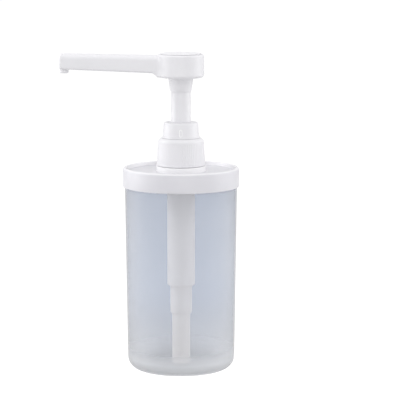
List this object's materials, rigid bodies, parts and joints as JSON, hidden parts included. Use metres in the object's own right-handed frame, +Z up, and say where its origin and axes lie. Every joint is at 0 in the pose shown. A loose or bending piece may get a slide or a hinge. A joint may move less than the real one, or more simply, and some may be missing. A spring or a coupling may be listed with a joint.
{
  "type": "jam pump bottle",
  "caption": "Hazy cylindrical bottle with a white screw lid and a hand pump whose long spout portions jam or thick sauce when its head is pressed.",
  "frame": {"origin": "centre of the bottle's base, on the surface it stands on", "axes": "+Z up along the pump's axis, spout along -X, index mark on the front at -Y"},
  "size_m": [0.1692, 0.11, 0.3009],
  "materials": {
    "hazy_plastic": "hazy natural polypropylene with a smooth, slightly bluish sheen",
    "white_plastic": "smooth white moulded polypropylene",
    "milky_plastic": "milky translucent polypropylene",
    "inner_plastic": "plain white polyethylene",
    "gasket": "soft pale grey sealing ring",
    "steel": "bright stainless steel"
  },
  "bodies": {
    "bottle": {"bottle": "hazy_plastic"},
    "lid_liner": {"lid_gasket": "gasket"},
    "lid": {"lid": "white_plastic"},
    "pump": {"barrel": "milky_plastic", "barrel_flange": "milky_plastic", "valve_chamber": "milky_plastic", "guide_collar": "white_plastic", "neck_gasket": "gasket", "stem_seal": "gasket", "dip_tube": "milky_plastic", "ball_cage": "inner_plastic", "return_spring": "steel"},
    "closure": {"pump_closure": "white_plastic"},
    "piston": {"piston": "inner_plastic"},
    "plunger": {"stem": "white_plastic", "valve_seat": "inner_plastic", "ball_retainer": "inner_plastic", "head": "white_plastic", "head_cap": "white_plastic", "spout_plug": "white_plastic"},
    "inlet_valve": {"inlet_ball": "steel"},
    "outlet_valve": {"outlet_ball": "steel"}
  },
  "joints": [
    {"name": "lid_lift", "type": "slide", "parent": "bottle", "child": "lid_liner", "axis": [0, 0, 1], "range_m": [0, 0.0091]},
    {"name": "lid_turn", "type": "hinge", "parent": "lid_liner", "child": "lid", "pos_m": [0, 0, 0.184], "axis": [0, 0, 1], "range_deg": [0, 540]},
    {"name": "pump_lift", "type": "slide", "parent": "lid", "child": "pump", "axis": [0, 0, 1], "range_m": [0, 0.0079]},
    {"name": "closure_turn", "type": "hinge", "parent": "pump", "child": "closure", "pos_m": [0, 0, 0.208], "axis": [0, 0, 1], "range_deg": [0, 700]},
    {"name": "inlet_ball_lift", "type": "slide", "parent": "pump", "child": "inlet_valve", "axis": [0, 0, 1], "range_m": [0, 0.004]},
    {"name": "pump_stroke", "type": "slide", "parent": "pump", "child": "piston", "axis": [0, 0, 1], "range_m": [-0.026, 0], "stiffness_N_per_m": 900, "springref_m": 0.012, "deforming": ["return_spring"]},
    {"name": "head_swivel", "type": "hinge", "parent": "piston", "child": "plunger", "pos_m": [0, 0, 0.25], "axis": [0, 0, 1], "continuous": true},
    {"name": "outlet_ball_lift", "type": "slide", "parent": "plunger", "child": "outlet_valve", "axis": [0, 0, 1], "range_m": [0, 0.004]}
  ],
  "couplings": [
    {"joint": "lid_lift", "follows": "lid_turn", "m_per_rad": 0.00095493},
    {"joint": "pump_lift", "follows": "closure_turn", "m_per_rad": 0.00063662}
  ]
}
